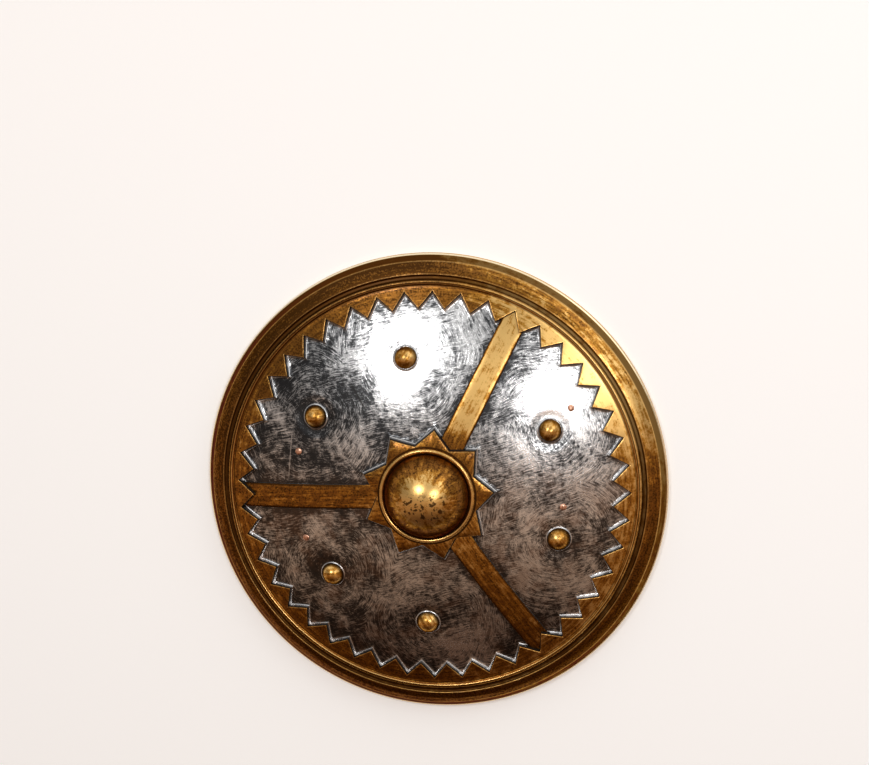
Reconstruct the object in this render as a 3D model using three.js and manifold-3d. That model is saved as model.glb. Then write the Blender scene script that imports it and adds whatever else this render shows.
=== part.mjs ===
// Costume round shield: one thin moulded plastic shell, two webbing straps behind and four rivets.
// Millimetres, +Z up. The shield lies face up on its rim: the origin is the middle of the rim's
// lower edge, +Z leaves the decorated face, and +Y is the shield's top when it is carried.
import * as THREE from 'three';
import { mergeVertices } from 'three/addons/utils/BufferGeometryUtils.js';
import Module from 'manifold-3d';

const wasm = await Module();
wasm.setup();

// Driving dimensions of the shell
const OUTER_RADIUS = 250;       // edge of the lip
const RING_TOP = 27.5;          // height of the toothed ring's face at the notch circle
const NOTCH_RADIUS = 213.5;     // where the silver spikes end, pointing out
const TOOTH_TIP_RADIUS = 196;   // where the gold teeth end, pointing in
const TOOTH_COUNT = 44;
const FIRST_NOTCH = 63.74;      // degrees; one notch sits near the upper right spoke
const RING_LIFT = 7;            // the toothed ring stands this far above the field
const DOME_RISE = 44;           // the field climbs this much from the notch circle to the middle
const WALL = 1.6;               // thickness of the moulded sheet, square to its face
const SLOPED_WALL = 1.15 * WALL; // the same sheet measured across a tooth's drafted wall
const LIP_WIDTH = 3;            // flat lower edge of the rim that the shield lies on
const FIELD_EDGE = 208;         // the field ends inside the toothed ring
const NOTCH_RUN = 7.5;          // the wall at a notch slopes this far inward on its way down
const TIP_RUN = 4.7;            // the wall at a tooth's tip does so by this much
const WALL_REACH = 1.4;         // these walls run on a little under the field's face

// Heights below are measured from RING_TOP. The rim's face: ring, bead, groove, band, step, lip.
const RIM_FACE = [
  [219.3, -2.1], [220.8, 0.3], [223.6, 0.1], [225.4, -4.6], [228.4, -5.4], [230.4, -3.4],
  [237.2, -6.6], [243.2, -11.6], [246.6, -17.8], [248, -20], [OUTER_RADIUS, -21.6],
];
const RIM_BACK = [
  [222.9, -3.6], [224.2, -7.4], [229.6, -7.2], [241.7, -13.1], [OUTER_RADIUS - LIP_WIDTH, -22.4],
];

// Spokes and star
const SPOKE_ANGLES = [62.7, 182.7, 302.7];
const SPOKE_WIDTH = 25.6;
const SPOKE_LIFT = 2.1;
const SPOKE_SPREAD = 0.9;       // the foot is wider than the top by this much on each side
const SPOKE_START = 48;         // it begins under the star
const SPOKE_END = 216;          // it ends inside the toothed ring
const STAR_POINTS = 9;
const STAR_FIRST_POINT = 42.2;
const STAR_TIP_RADIUS = 70.8;
const STAR_VALLEY_RADIUS = 54.2;
const STAR_LIFT = 7.5;
const STAR_SPREAD = 2.6;
const STAR_MIDDLE = 40;         // inside this radius the star's face is flat, under the boss

// Boss with its foot bead
const BOSS_RADIUS = 46;
const BOSS_HEIGHT = 37;         // apex above the star's face
const BEAD_RADIUS = 48.9;
const BEAD_HALF_WIDTH = 2.7;
const BEAD_LIFT = 3.4;
const BOSS_FOOT = 12;           // the boss is let into the star by this much

// Studs with their dimples
// Each stud's distance from the axis and bearing; the third sits a little off the pattern.
const STUDS = [
  [146, 98.7], [146, 146.7], [144.2, 220.1], [146, 266.7], [146, 338.7], [146, 26.7],
];
const STUD_RADIUS = 12.3;
const STUD_SUNK = 2.2;          // the ball's centre lies this far under the field
const DIMPLE_RADIUS = 15.4;
const DIMPLE_DEPTH = 1.4;
const DIMPLE_GAP = 0.6;         // flat ring of the dimple's floor round the ball
const STUD_FOOT = 2.4;          // the ball reaches this far under the dimple's floor

// Straps and rivets
const STRAP_THICKNESS = 1.8;
const STRAP_GAP = 1.6;          // room between the shell's dished inside and the flat strap end
const TAB_HALF = 13;            // half the length of that flat end
const LOOP_FULLNESS = 0.8;      // a lower number gives the loop a flatter middle
const RIVET_HEAD_RADIUS = 3.7;
const RIVET_HEAD_HEIGHT = 1.5;
const RIVET_SHANK_RADIUS = 1.7;
const RIVET_HOLE_RADIUS = 2.0;
const RIVET_TAIL = 1.2;         // thickness of the flat head behind
const HOLE_REACH = [-12, 6];    // a hole's cutter ends this far behind and before the face
const CLEARANCE = 0.3;
const STRAPS = [
  { name: 'forearm_strap', ends: [[-142, 42], [-138, -53]], width: 28, depth: 33 },
  { name: 'hand_strap', ends: [[142, -17.5], [152, 88]], width: 26, depth: 30 },
];

// Facets
const STATIONS = TOOTH_COUNT * 2; // one at each notch and one at each tip
const DOME_STEPS = 5;
const BOSS_SEGMENTS = 32;
const BOSS_STEPS = 5;
const STUD_SEGMENTS = 12;
const STUD_STEPS = 3;
const RIVET_SEGMENTS = 12;
const STRAP_STEPS = 12;
const SPOKE_STEPS = 5;

const radians = (degrees) => (degrees * Math.PI) / 180;
const upward = new THREE.Vector3(0, 0, 1);

// A point from its distance to the axis, its bearing and its height.
function polar(radius, angle, height) {
  return new THREE.Vector3(radius * Math.cos(angle), radius * Math.sin(angle), height);
}

// Height of the silver field's face at a distance from the axis.
function fieldHeight(radius) {
  return RING_TOP - RING_LIFT + DOME_RISE * (1 - (radius / NOTCH_RADIUS) ** 2);
}

// Unit normal of the field's face at a point.
function fieldNormal(x, y) {
  const slope = (2 * DOME_RISE) / NOTCH_RADIUS ** 2;
  return new THREE.Vector3(slope * x, slope * y, 1).normalize();
}

// A turned frame that stands on the field's face at a point.
function fieldFrame(x, y) {
  const turn = new THREE.Quaternion().setFromUnitVectors(upward, fieldNormal(x, y));
  const place = new THREE.Vector3(x, y, fieldHeight(Math.hypot(x, y)));
  return new THREE.Matrix4().compose(place, turn, new THREE.Vector3(1, 1, 1));
}

// A closed mesh as a solid for joining and cutting.
function solid(geometry) {
  const bare = geometry.index ? geometry.toNonIndexed() : geometry.clone();
  bare.deleteAttribute('normal');
  bare.deleteAttribute('uv');
  const merged = mergeVertices(bare, 1e-4);
  const vertProperties = new Float32Array(merged.attributes.position.array);
  const triVerts = new Uint32Array(merged.index.array);
  const body = new wasm.Manifold(new wasm.Mesh({ numProp: 3, vertProperties, triVerts }));
  if (body.volume() < 0) throw new Error('a solid is inside out');
  return body;
}

// The solid back as a geometry.
function geometryOf(body) {
  const mesh = body.getMesh();
  const geometry = new THREE.BufferGeometry();
  const positions = new Float32Array(mesh.vertProperties.length);
  positions.set(mesh.vertProperties);
  geometry.setAttribute('position', new THREE.BufferAttribute(positions, 3));
  geometry.setIndex(new THREE.BufferAttribute(new Uint32Array(mesh.triVerts), 1));
  geometry.computeVertexNormals();
  return geometry;
}

// Triangles into a geometry.
function fromTriangles(triangles) {
  const positions = new Float32Array(triangles.length * 9);
  triangles.forEach((corners, index) => {
    corners.forEach((corner, side) => corner.toArray(positions, index * 9 + side * 3));
  });
  const geometry = new THREE.BufferGeometry();
  geometry.setAttribute('position', new THREE.BufferAttribute(positions, 3));
  return geometry;
}

// The band of triangles between two outlines with the same number of points.
function band(lower, upper) {
  const triangles = [];
  lower.forEach((corner, index) => {
    const next = (index + 1) % lower.length;
    triangles.push([corner, lower[next], upper[next]]);
    triangles.push([corner, upper[next], upper[index]]);
  });
  return triangles;
}

// A solid stacked from outlines, each counterclockwise seen from the last, closed at both ends.
function stack(outlines) {
  const triangles = [];
  for (let level = 0; level + 1 < outlines.length; level += 1) {
    triangles.push(...band(outlines[level], outlines[level + 1]));
  }
  [0, outlines.length - 1].forEach((level) => {
    const outline = outlines[level];
    const middle = new THREE.Vector3();
    outline.forEach((corner) => middle.addScaledVector(corner, 1 / outline.length));
    outline.forEach((corner, index) => {
      const next = outline[(index + 1) % outline.length];
      triangles.push(level === 0 ? [next, corner, middle] : [corner, next, middle]);
    });
  });
  return solid(fromTriangles(triangles));
}

// A turned solid from a profile of [radius, height] points, lowest first.
function turned(profile, segments, matrix = new THREE.Matrix4()) {
  const points = profile.map(([radius, height]) => new THREE.Vector2(radius, height));
  const geometry = new THREE.LatheGeometry(points, segments);
  geometry.rotateX(Math.PI / 2);
  geometry.rotateZ(Math.PI / 2);
  geometry.applyMatrix4(matrix);
  return solid(geometry);
}

// Each form of the shell is made twice: its face with inset 0, and the hollow behind it with inset 1.
// The hollow is a wall's thickness smaller, and it starts below the rim so that it cuts the back open.
const base = (inset) => (inset ? -2 : 0);

// How far the sheet's back lies straight below its face on the sloping dome.
const drop = (inset) => inset * WALL * 1.08;

// Toothed ring and rim: a loop of sections, alternately at a notch and at a tooth's tip.
function ringForm(inset) {
  const rim = inset ? RIM_BACK : RIM_FACE;
  const outer = rim[rim.length - 1][0];
  const halfPitch = NOTCH_RADIUS * Math.sin(Math.PI / TOOTH_COUNT);
  const halfAngle = Math.atan2(halfPitch, NOTCH_RADIUS - TOOTH_TIP_RADIUS);
  const shift = (inset * SLOPED_WALL) / Math.sin(halfAngle);
  const sections = [];
  for (let station = 0; station < STATIONS; station += 1) {
    const angle = radians(FIRST_NOTCH) + (station * Math.PI) / TOOTH_COUNT;
    const notch = station % 2 === 0;
    const top = (notch ? NOTCH_RADIUS : TOOTH_TIP_RADIUS) + shift;
    const foot = top - (notch ? NOTCH_RUN : TIP_RUN) * WALL_REACH;
    const topHeight = fieldHeight(top) + RING_LIFT - drop(inset);
    const footHeight = topHeight - RING_LIFT * WALL_REACH;
    const profile = [
      [foot, base(inset)], [outer, base(inset)],
      ...rim.map(([radius, height]) => [radius, RING_TOP + height]).reverse(),
      [top, topHeight], [foot, footHeight],
    ];
    sections.push(profile.map(([radius, height]) => polar(radius, angle, height)));
  }
  const triangles = sections.flatMap((section, index) => band(sections[(index + 1) % STATIONS], section));
  return solid(fromTriangles(triangles));
}

// The domed field, which ends inside the ring.
function domeForm(inset) {
  const edge = FIELD_EDGE + 2 * inset * WALL;
  const profile = [[0, base(inset)], [edge, base(inset)]];
  for (let step = DOME_STEPS; step >= 0; step -= 1) {
    const radius = (edge * step) / DOME_STEPS;
    profile.push([radius, fieldHeight(radius) - drop(inset)]);
  }
  return turned(profile, TOOTH_COUNT, new THREE.Matrix4().makeRotationZ(radians(FIRST_NOTCH)));
}

// A spoke: a flat raised strip that follows the dome from the star to the ring.
function spokeForm(angle, inset) {
  const half = SPOKE_WIDTH / 2 - inset * WALL * 0.8;
  const wide = half + 2 * SPOKE_SPREAD;
  const outlines = [];
  for (let step = 0; step <= SPOKE_STEPS; step += 1) {
    const along = SPOKE_START + ((SPOKE_END - SPOKE_START) * step) / SPOKE_STEPS;
    const corner = (across, lift) => {
      const height = fieldHeight(Math.hypot(along, across)) + lift - drop(inset);
      return new THREE.Vector3(along, across, height).applyAxisAngle(upward, radians(angle));
    };
    const foot = [-wide, wide].map((across) => corner(across, -SPOKE_LIFT));
    const top = [half, 0, -half].map((across) => corner(across, SPOKE_LIFT));
    outlines.push([...foot, ...top]);
  }
  return stack(outlines);
}

// The nine-pointed star, whose face follows the dome.
function starForm(inset) {
  const level = (radiusAt, lift) => Array.from({ length: STAR_POINTS * 2 }, (_, index) => {
    const radius = radiusAt(index % 2 === 0);
    const angle = radians(STAR_FIRST_POINT) + (index * Math.PI) / STAR_POINTS;
    return polar(radius, angle, fieldHeight(radius) + lift - drop(inset));
  });
  const spreadBy = (spread) => (tip) => (
    tip ? STAR_TIP_RADIUS + spread * 1.5 : STAR_VALLEY_RADIUS + spread * 1.2
  );
  const narrow = -inset * WALL;
  return stack([
    level(spreadBy(narrow + 1.5 * STAR_SPREAD), -STAR_LIFT / 2),
    level(spreadBy(narrow), STAR_LIFT),
    level(() => STAR_MIDDLE, STAR_LIFT),
  ]);
}

// The boss: a near half ball that rises inside a rolled bead.
function bossForm(inset) {
  const seat = fieldHeight(BEAD_RADIUS) + STAR_LIFT - drop(inset);
  const radius = BOSS_RADIUS - inset * WALL;
  const ball = (radius ** 2 + BOSS_HEIGHT ** 2) / (2 * BOSS_HEIGHT);
  const profile = [[0, seat - BOSS_FOOT], [BEAD_RADIUS, seat - BOSS_FOOT]];
  const halfWidth = BEAD_HALF_WIDTH - inset * WALL * 0.9;
  const beadSteps = inset ? 2 : 3;
  for (let step = 0; step <= beadSteps; step += 1) {
    const angle = (step * Math.PI) / beadSteps;
    profile.push([BEAD_RADIUS + halfWidth * Math.cos(angle), seat + BEAD_LIFT * Math.sin(angle)]);
  }
  const middle = seat + BOSS_HEIGHT - ball;
  const widest = Math.atan2(radius, ball - BOSS_HEIGHT);
  for (let step = 0; step <= BOSS_STEPS; step += 1) {
    const angle = widest * (1 - step / BOSS_STEPS);
    profile.push([ball * Math.sin(angle), middle + ball * Math.cos(angle)]);
  }
  profile[profile.length - 1][0] = 0;
  return turned(profile, BOSS_SEGMENTS);
}

// The studs' middles on the field.
const studPlaces = STUDS.map(([radius, bearing]) => {
  const { x, y } = polar(radius, radians(bearing), 0);
  return [x, y];
});

// A stud's ball, square to the field.
function studBall(x, y, inset) {
  const radius = STUD_RADIUS - inset * WALL;
  const deep = -DIMPLE_DEPTH - STUD_FOOT - inset * WALL;
  const widest = Math.acos((deep + STUD_SUNK) / radius);
  const profile = [[0, deep], [radius * Math.sin(widest), deep]];
  for (let step = 1; step <= STUD_STEPS; step += 1) {
    const angle = widest * (1 - step / STUD_STEPS);
    profile.push([radius * Math.sin(angle), radius * Math.cos(angle) - STUD_SUNK]);
  }
  profile[profile.length - 1][0] = 0;
  return turned(profile, STUD_SEGMENTS, fieldFrame(x, y));
}

// The shallow dimple pressed round a stud.
function dimple(x, y, inset) {
  const floor = -DIMPLE_DEPTH - inset * WALL;
  const top = 2 * DIMPLE_DEPTH;
  const floorRadius = STUD_RADIUS + DIMPLE_GAP + inset * WALL;
  const slope = (DIMPLE_RADIUS - STUD_RADIUS - DIMPLE_GAP) / (2 * DIMPLE_DEPTH);
  const profile = [[0, floor], [floorRadius, floor], [floorRadius + slope * (top - floor), top], [0, top]];
  return turned(profile, STUD_SEGMENTS, fieldFrame(x, y));
}

function shellForm(inset) {
  const field = studPlaces.reduce((body, [x, y]) => body.subtract(dimple(x, y, inset)), domeForm(inset));
  const raised = [
    ringForm(inset),
    ...SPOKE_ANGLES.map((angle) => spokeForm(angle, inset)),
    starForm(inset),
    bossForm(inset),
    ...studPlaces.map(([x, y]) => studBall(x, y, inset)),
  ];
  return raised.reduce((body, form) => body.add(form), field);
}

// A round hole square to the field, through the shell and whatever lies behind it.
function rivetHole(x, y) {
  const [behind, before] = HOLE_REACH;
  const profile = [[0, behind], [RIVET_HOLE_RADIUS, behind], [RIVET_HOLE_RADIUS, before], [0, before]];
  return turned(profile, RIVET_SEGMENTS, fieldFrame(x, y));
}

const rivetPlaces = STRAPS.flatMap((strap) => strap.ends);

function shellGeometry() {
  const moulded = shellForm(0).subtract(shellForm(1));
  return geometryOf(rivetPlaces.reduce((body, [x, y]) => body.subtract(rivetHole(x, y)), moulded));
}

// A strap: flat riveted ends, and a loop between them that hangs free behind the shell.
function strapGeometry({ ends, width, depth }) {
  const reach = WALL + STRAP_GAP + STRAP_THICKNESS / 2;
  const anchors = ends.map(([x, y]) => {
    const normal = fieldNormal(x, y);
    const place = new THREE.Vector3(x, y, fieldHeight(Math.hypot(x, y))).addScaledVector(normal, -reach);
    return { normal, place };
  });
  const toward = anchors[1].place.clone().sub(anchors[0].place).normalize();
  anchors.forEach((anchor) => {
    anchor.along = toward.clone().addScaledVector(anchor.normal, -toward.dot(anchor.normal)).normalize();
  });
  const [first, last] = anchors;
  const stations = [-TAB_HALF, 0].map((shift) => ({
    place: first.place.clone().addScaledVector(first.along, shift), normal: first.normal,
  }));
  const start = first.place.clone().addScaledVector(first.along, TAB_HALF);
  const end = last.place.clone().addScaledVector(last.along, -TAB_HALF);
  for (let step = 0; step <= STRAP_STEPS; step += 1) {
    const share = (1 - Math.cos((Math.PI * step) / STRAP_STEPS)) / 2;
    const place = start.clone().lerp(end, share);
    place.z -= depth * Math.sin(Math.PI * share) ** LOOP_FULLNESS;
    stations.push({ place, normal: first.normal.clone().lerp(last.normal, share).normalize() });
  }
  [0, TAB_HALF].forEach((shift) => {
    stations.push({ place: last.place.clone().addScaledVector(last.along, shift), normal: last.normal });
  });
  const outlines = stations.map(({ place, normal }, index) => {
    const before = stations[Math.max(index - 1, 0)].place;
    const after = stations[Math.min(index + 1, stations.length - 1)].place;
    const along = after.clone().sub(before).normalize();
    const across = normal.clone().cross(along).normalize();
    const outward = along.clone().cross(across);
    const corner = (side, face) => place.clone()
      .addScaledVector(across, (side * width) / 2)
      .addScaledVector(outward, (face * STRAP_THICKNESS) / 2);
    return [corner(-1, -1), corner(1, -1), corner(1, 1), corner(-1, 1)];
  });
  return geometryOf(ends.reduce((body, [x, y]) => body.subtract(rivetHole(x, y)), stack(outlines)));
}

// A rivet: domed head in front, shank through shell and strap, flat head behind.
function rivetGeometry(x, y) {
  const behind = -(WALL + STRAP_GAP + STRAP_THICKNESS + CLEARANCE);
  const profile = [
    [0, behind - RIVET_TAIL], [RIVET_HEAD_RADIUS * 0.8, behind - RIVET_TAIL], [RIVET_HEAD_RADIUS, behind],
    [RIVET_SHANK_RADIUS, behind], [RIVET_SHANK_RADIUS, CLEARANCE], [RIVET_HEAD_RADIUS, CLEARANCE],
    [RIVET_HEAD_RADIUS * 0.86, CLEARANCE + RIVET_HEAD_HEIGHT * 0.6],
    [RIVET_HEAD_RADIUS * 0.5, CLEARANCE + RIVET_HEAD_HEIGHT * 0.92], [0, CLEARANCE + RIVET_HEAD_HEIGHT],
  ];
  return geometryOf(turned(profile, RIVET_SEGMENTS, fieldFrame(x, y)));
}

const plastic = new THREE.MeshStandardMaterial({ color: 0x9a7a3c, roughness: 0.35, metalness: 0.8 });
const webbing = new THREE.MeshStandardMaterial({ color: 0x1c1b1a, roughness: 0.9, metalness: 0 });
const copper = new THREE.MeshStandardMaterial({ color: 0xb0754f, roughness: 0.3, metalness: 1 });

const shield = new THREE.Group();

function addPiece(name, geometry, material) {
  const mesh = new THREE.Mesh(geometry, material.clone());
  mesh.name = name;
  shield.add(mesh);
}

addPiece('shield_shell', shellGeometry(), plastic);
STRAPS.forEach((strap) => addPiece(strap.name, strapGeometry(strap), webbing));
rivetPlaces.forEach(([x, y], index) => addPiece(`rivet_${index + 1}`, rivetGeometry(x, y), copper));

export default shield;
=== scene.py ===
"""A costume round shield of thin moulded plastic, painted aged gold and silver.

It lies face up on its rim. Forms are shaped in millimetres and scaled to metres when a
piece is finished. +Z leaves the decorated face and +Y is the top of the carried shield.
"""

from math import acos, atan2, cos, hypot, pi, radians, sin

import bmesh
import bpy
from mathutils import Matrix, Vector


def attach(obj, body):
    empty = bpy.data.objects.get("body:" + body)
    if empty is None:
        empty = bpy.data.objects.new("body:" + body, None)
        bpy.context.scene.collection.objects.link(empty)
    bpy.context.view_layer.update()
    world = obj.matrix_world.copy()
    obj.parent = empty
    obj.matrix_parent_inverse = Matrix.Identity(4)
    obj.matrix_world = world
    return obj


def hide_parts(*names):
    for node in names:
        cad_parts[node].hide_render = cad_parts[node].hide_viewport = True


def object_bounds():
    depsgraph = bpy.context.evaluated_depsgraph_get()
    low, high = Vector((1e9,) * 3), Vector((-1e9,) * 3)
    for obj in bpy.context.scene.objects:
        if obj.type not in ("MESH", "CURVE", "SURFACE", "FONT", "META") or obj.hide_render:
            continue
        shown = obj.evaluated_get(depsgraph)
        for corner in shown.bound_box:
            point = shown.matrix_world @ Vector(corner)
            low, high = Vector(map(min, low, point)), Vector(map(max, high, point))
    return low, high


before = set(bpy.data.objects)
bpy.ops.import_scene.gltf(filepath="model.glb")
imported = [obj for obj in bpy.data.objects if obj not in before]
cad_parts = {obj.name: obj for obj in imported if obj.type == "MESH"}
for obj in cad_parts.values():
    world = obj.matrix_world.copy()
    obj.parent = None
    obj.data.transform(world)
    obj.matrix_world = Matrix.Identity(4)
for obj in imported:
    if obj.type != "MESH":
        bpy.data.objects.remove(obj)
cad_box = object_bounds()

MM = 0.001

# The moulded shell
OUTER_RADIUS = 250
RING_TOP = 27.5
NOTCH_RADIUS = 213.5
TOOTH_TIP_RADIUS = 196
TOOTH_COUNT = 44
FIRST_NOTCH = 63.74
RING_LIFT = 7
DOME_RISE = 44
LIP_WIDTH = 3
LIP_CHAMFER = 0.8
RIM_ROUNDING = 0.6
RING_FACE_START = 215.2
FIELD_EDGE = 208
NOTCH_RUN = 7.5
TIP_RUN = 4.7
WALL = 1.6
SHEET_DROP = 1.08 * WALL  # the sheet measured straight down on the dome
SLOPED_WALL = 1.15 * WALL  # the sheet measured across a tooth's sloping side
BASE_HEIGHTS = (0, -2)  # the face stands on the floor; the hollow is cut past it
RIM_FACE = [
    (219.3, -2.1), (220.8, 0.3), (223.6, 0.1), (225.4, -4.6), (228.4, -5.4), (230.4, -3.4),
    (237.2, -6.6), (243.2, -11.6), (246.6, -17.8), (248, -20), (OUTER_RADIUS, -21.6),
]
RIM_BACK = [
    (222.9, -3.6), (224.2, -7.4), (229.6, -7.2), (241.7, -13.1),
    (OUTER_RADIUS - LIP_WIDTH, -22.4),
]

# Spokes and star
SPOKE_ANGLES = [62.7, 182.7, 302.7]
SPOKE_WIDTH = 25.6
SPOKE_LIFT = 2.1
SPOKE_SPREAD = 0.9
SPOKE_ROUNDING = 0.9
SPOKE_START = 48
SPOKE_END = 216
STAR_POINTS = 9
STAR_FIRST_POINT = 42.2
STAR_TIP_RADIUS = 70.8
STAR_VALLEY_RADIUS = 54.2
STAR_LIFT = 7.5
STAR_RUN = 2.6
STAR_MIDDLE = 40
# The share of each form's lift above which it is gold
RING_GOLD, SPOKE_GOLD, STAR_GOLD = 0.86, 0.62, 0.82

# Boss, bead, studs and dimples
BOSS_RADIUS = 46
BOSS_HEIGHT = 37
BEAD_RADIUS = 48.9
BEAD_HALF_WIDTH = 2.7
BEAD_LIFT = 3.4
BOSS_FOOT = 12
STUD_CIRCLE = 146
PANEL_MIDDLE = 2.7
STUD_SPREAD = 24
ODD_STUD, ODD_STUD_IDEAL = (144.2, 220.1), (STUD_CIRCLE, 218.7)
# Each stud's distance from the axis and bearing; the third sits a little off the pattern.
STUDS = [
    (STUD_CIRCLE, 98.7), (STUD_CIRCLE, 146.7), ODD_STUD, (STUD_CIRCLE, 266.7),
    (STUD_CIRCLE, 338.7), (STUD_CIRCLE, 26.7),
]
STUD_RADIUS = 12.3
STUD_SUNK = 2.2
STUD_FOOT = 2.4
DIMPLE_RADIUS = 15.4
DIMPLE_DEPTH = 1.4
DIMPLE_GAP = 0.6
DIMPLE_SOFT_RADIUS = 25
DIMPLE_SOFT_DEPTH = 0.9
# The ledge at a stud's foot: how far outside the ball, and how high
LEDGE = [(0.15, -0.1), (0.45, -0.18), (0.75, -0.42), (1.05, -0.7), (1.4, -0.95)]

# Straps and rivets
STRAP_THICKNESS = 1.8
STRAP_GAP = 1.6
TAB_HALF = 13
LOOP_FULLNESS = 0.8
RIVET_HEAD_RADIUS = 3.7
RIVET_HEAD_HEIGHT = 1.5
RIVET_HEAD_EDGE = 0.25
RIVET_SHANK_RADIUS = 1.7
RIVET_HOLE_RADIUS = 2.0
RIVET_HOLE_ENDS = -12, 6
RIVET_TAIL = 1.2
CLEARANCE = 0.3
STRAPS = {
    "forearm_strap": {"ends": [(-142, 42), (-138, -53)], "width": 28, "depth": 33},
    "hand_strap": {"ends": [(142, -17.5), (152, 88)], "width": 26, "depth": 30},
}
LOOP_SLACK = 1.35
WEAVE_PITCH = 1.1
WEAVE_RISE = 0.17
SELVEDGE = 2.2
THREAD_RADIUS = 0.42
STITCH_LENGTH = 3.2
STITCH_INSET = 2.6
STITCH_SIDE = 3.6

# Finishes on the shell's faces, and on the straps'
GOLD, SILVER, BACK = 0, 1, 2
THREAD = 1

# How finely each form is divided
RING_SEGMENTS = TOOTH_COUNT * 8
DOME_SEGMENTS = 264
DOME_STEPS = 34
SPOKE_STEPS = 28
STAR_SEGMENTS = STAR_POINTS * 12
BEAD_STEPS = 12
BOSS_SEGMENTS = 128
BOSS_STEPS = 30
BALL_SEGMENTS = 48
BALL_STEPS = 16
BRIM_STEPS = 12
RIVET_SEGMENTS = 40
UP = Vector((0, 0, 1))


# ---- shapes shared by the forms
def field_height(radius):
    """Height of the silver field's face at a distance from the axis."""
    return RING_TOP - RING_LIFT + DOME_RISE * (1 - (radius / NOTCH_RADIUS) ** 2)


def field_frame(x, y):
    """A frame that stands on the field's face at a point, square to it."""
    slope = 2 * DOME_RISE / NOTCH_RADIUS**2
    turn = UP.rotation_difference(Vector((slope * x, slope * y, 1)))
    return Matrix.Translation((x, y, field_height(hypot(x, y)))) @ turn.to_matrix().to_4x4()


def zigzag_radius(angle, first, count, radius_at_first, radius_between):
    """Distance from the axis to a straight-sided zigzag outline, at a bearing."""
    half = pi / count
    turn = (angle - first) % (2 * half)
    turn = min(turn, 2 * half - turn)
    reach = radius_at_first * sin(turn) + radius_between * sin(half - turn)
    return radius_at_first * radius_between * sin(half) / reach


def rounded(points, radius, steps):
    """The same open profile with its inner corners rounded."""
    line = bmesh.new()
    corners = [line.verts.new((x, 0, z)) for x, z in points]
    for one, other in zip(corners, corners[1:]):
        line.edges.new((one, other))
    bmesh.ops.bevel(
        line, geom=corners[1:-1], offset=radius, segments=steps, profile=0.5,
        affect="VERTICES", material=-1,
    )
    line.verts.ensure_lookup_table()
    first = Vector((points[0][0], 0, points[0][1]))
    vert = next(vert for vert in line.verts if (vert.co - first).length < 1e-4)
    edge, path = None, [vert]
    while True:
        ways = [link for link in vert.link_edges if link is not edge]
        if not ways:
            break
        edge = ways[0]
        vert = edge.other_vert(vert)
        path.append(vert)
    found = [(vert.co.x, vert.co.z) for vert in path]
    line.free()
    return found


def spun(profile, segments, closed=False, start=0.0):
    """A turned solid: the profile of (radius, height) points spun about the axis."""
    form = bmesh.new()
    turn = Matrix.Rotation(start, 3, "Z")
    line = [form.verts.new(turn @ Vector((radius, 0, height))) for radius, height in profile]
    pairs = list(zip(line, line[1:])) + ([(line[-1], line[0])] if closed else [])
    edges = [form.edges.new(pair) for pair in pairs]
    bmesh.ops.spin(
        form, geom=line + edges, cent=(0, 0, 0), axis=UP, angle=2 * pi, steps=segments,
        use_merge=True, use_duplicate=False,
    )
    bmesh.ops.remove_doubles(form, verts=form.verts, dist=1e-4)
    bmesh.ops.recalc_face_normals(form, faces=form.faces)
    return form


def placed(name, data):
    """An object of its own in the scene."""
    made = bpy.data.objects.new(name, data)
    bpy.context.scene.collection.objects.link(made)
    return made


def mesh_of(name, form):
    """A shaped form as a mesh."""
    mesh = bpy.data.meshes.new(name)
    form.to_mesh(mesh)
    form.free()
    return mesh


def solid_of(form, finish=None, matrix=None):
    """A shaped form as an object that can be joined or cut, in one finish unless it has its own."""
    if finish is not None:
        for face in form.faces:
            face.material_index = finish
    if matrix is not None:
        form.transform(matrix)
    bmesh.ops.triangulate(form, faces=[face for face in form.faces if len(face.verts) > 4])
    return placed("form", mesh_of("form", form))


def merged(body, form, way):
    """body joined with or cut by another solid, which is used up."""
    step = body.modifiers.new("step", "BOOLEAN")
    step.operation = way
    step.solver = "MANIFOLD"
    step.object = form
    ready = body.evaluated_get(bpy.context.evaluated_depsgraph_get())
    mesh = bpy.data.meshes.new_from_object(ready)
    body.modifiers.clear()
    body.data = mesh
    bpy.data.objects.remove(form)
    return body


def finished(name, made, stands_for, materials, soften):
    """A finished piece: metres, smooth faces with sharp edges kept, riding on the shield."""
    mesh = made.data
    mesh.transform(Matrix.Scale(MM, 4))
    made.name = mesh.name = name
    while len(mesh.materials) < len(materials):
        mesh.materials.append(None)
    for index, material in enumerate(materials):
        mesh.materials[index] = material
    mesh.shade_smooth()
    mesh.set_sharp_from_angle(angle=radians(soften))
    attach(made, "root")
    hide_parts(stands_for)


# ---- the shell's forms
# Each is made twice: its face with inset 0, and the hollow behind it with inset 1.
def paint(form, inset, gold_above, within=OUTER_RADIUS):
    """Gold on top and silver down the walls, or the back's finish on a hollow."""
    for face in form.faces:
        middle = face.calc_center_median()
        radius = hypot(middle.x, middle.y)
        in_wall = radius < within and middle.z - field_height(radius) <= gold_above
        face.material_index = BACK if inset else SILVER if in_wall else GOLD


def ball_cap(radius, middle, widest, steps):
    """The profile of a ball's cap, from its widest turn up to its top."""
    turns = [widest * (1 - step / steps) for step in range(steps + 1)]
    return [(radius * sin(turn), middle + radius * cos(turn)) for turn in turns]


def drop(inset):
    """How far a skin lies below the face, straight down."""
    return inset * SHEET_DROP


# A moulded wall as (share of its run, share of its depth): rounded brink, steep side, soft foot.
WALL_FACE = [
    (-0.28, 0.0), (-0.12, 0.0), (-0.05, 0.02), (0.01, 0.06), (0.06, 0.13), (0.3, 0.58),
    (0.38, 0.72), (0.48, 0.83), (0.62, 0.91), (0.8, 0.965), (1.0, 1.0), (1.25, 1.05),
]
WALL_HOLLOW = [(0.0, 0.0), (1.4, 1.4)]
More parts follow.
